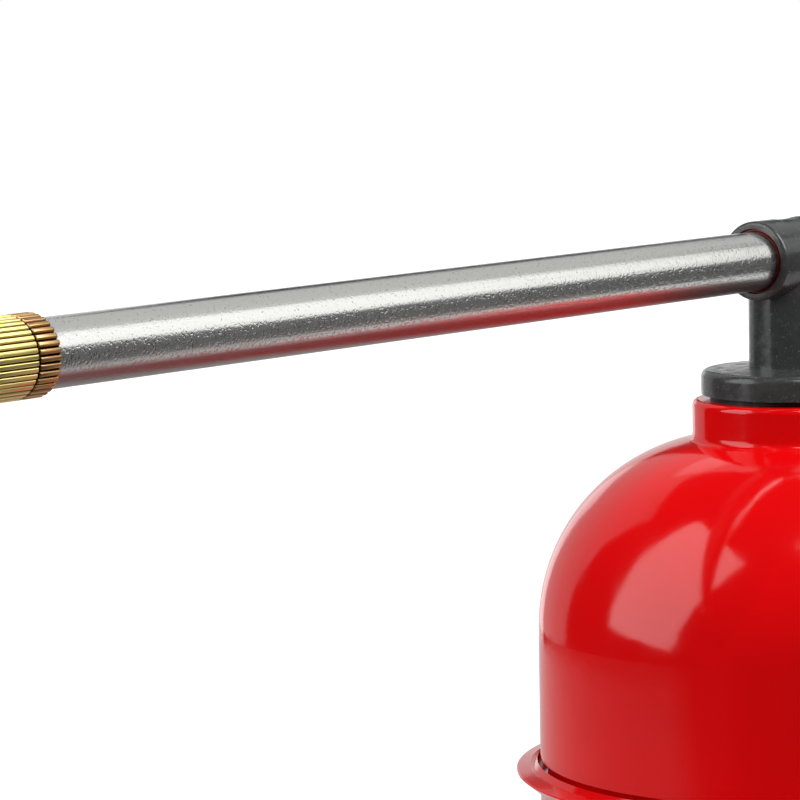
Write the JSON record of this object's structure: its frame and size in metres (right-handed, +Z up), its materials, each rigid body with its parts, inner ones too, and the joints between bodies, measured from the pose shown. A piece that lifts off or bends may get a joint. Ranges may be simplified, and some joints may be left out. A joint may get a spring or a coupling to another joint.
{
  "type": "rotary hand transfer pump",
  "caption": "Bench-mounted hand-cranked gear pump in a domed pressure vessel, with a swivelling spout arm, a knurled nozzle nut and a rubber cone tip.",
  "frame": {"origin": "on the vessel's vertical axis, at the underside of the base plate", "axes": "+Z up along the vessel's axis, the spout arm along -X at rest, the crank on the +X side, the suction port towards +Y"},
  "size_m": [0.6126, 0.207, 0.3134],
  "materials": {
    "red_enamel": "gloss enamel",
    "grey_paint": "satin enamel",
    "grey_pvc": "satin moulded",
    "aluminium_tube": "mill finish",
    "brass": "turned and knurled",
    "yellow_rubber": "moulded",
    "red_rubber": "moulded",
    "black_rubber": "moulded",
    "fibre_gasket": "pressed sheet",
    "zinc_steel": "zinc plated",
    "ground_steel": "ground",
    "cast_iron": "machined casting",
    "bronze": "sintered",
    "black_grip": "moulded"
  },
  "bodies": {
    "vessel": {"base_plate": "grey_paint", "base_gasket": "fibre_gasket", "lower_casing": "red_enamel", "casing_screws": "zinc_steel", "dome_gasket": "fibre_gasket", "dome": "red_enamel", "dome_screws": "zinc_steel", "drain_gasket": "fibre_gasket", "drain_plug": "brass", "neck_bush": "bronze", "swivel_washer": "black_rubber", "pump_housing": "cast_iron", "pump_foot_screws": "zinc_steel", "blind_cover": "cast_iron", "shaft_cover": "cast_iron", "pump_bolts": "zinc_steel", "pump_nuts": "zinc_steel", "shaft_bushes": "bronze", "gland_bush": "bronze", "shaft_packing": "black_rubber", "gland_nut": "brass", "suction_gasket": "fibre_gasket", "port_seal": "black_rubber", "suction_fitting": "brass", "flap_pin": "ground_steel"},
    "head": {"swivel_head": "grey_pvc", "journal_seals": "black_rubber", "swivel_nut": "brass", "riser_tube": "aluminium_tube", "tee_end_plug": "grey_pvc", "arm_seal": "red_rubber", "arm_tube": "aluminium_tube", "nozzle_adapter": "brass"},
    "tip": {"rubber_tip": "yellow_rubber"},
    "nut": {"nozzle_nut": "brass"},
    "crank": {"drive_shaft": "ground_steel", "gear_key": "ground_steel", "drive_gear": "ground_steel", "crank_arm": "cast_iron", "crank_washers": "zinc_steel", "crank_nut": "zinc_steel", "grip_spindle": "zinc_steel", "spindle_nut": "zinc_steel"},
    "idler": {"idler_gear": "ground_steel", "idler_shaft": "ground_steel"},
    "grip": {"grip": "black_grip"},
    "flap": {"suction_flap": "brass"}
  },
  "joints": [
    {"name": "head_swivel", "type": "hinge", "parent": "vessel", "child": "head", "pos_m": [0, 0, 0.252], "axis": [0, 0, 1], "continuous": true},
    {"name": "crank_spin", "type": "hinge", "parent": "vessel", "child": "crank", "pos_m": [0.1, 0, 0.09], "axis": [1, 0, 0], "continuous": true},
    {"name": "idler_spin", "type": "hinge", "parent": "vessel", "child": "idler", "pos_m": [0, 0, 0.046], "axis": [1, 0, 0], "continuous": true},
    {"name": "grip_spin", "type": "hinge", "parent": "crank", "child": "grip", "pos_m": [0.16, 0, 0.018], "axis": [1, 0, 0], "continuous": true},
    {"name": "tip_slide", "type": "slide", "parent": "head", "child": "tip", "axis": [-1, 0, 0], "range_m": [0, 0.003]},
    {"name": "nut_turn", "type": "hinge", "parent": "tip", "child": "nut", "pos_m": [-0.375, 0, 0.3], "axis": [-1, 0, 0], "range_deg": [0, 720]},
    {"name": "flap_swing", "type": "hinge", "parent": "vessel", "child": "flap", "pos_m": [0, 0.0626, 0.078], "axis": [-1, 0, 0], "range_deg": [0, 40]}
  ],
  "couplings": [
    {"joint": "idler_spin", "follows": "crank_spin", "ratio": -1},
    {"joint": "nut_turn", "follows": "tip_slide", "rad_per_m": 4188.8}
  ]
}
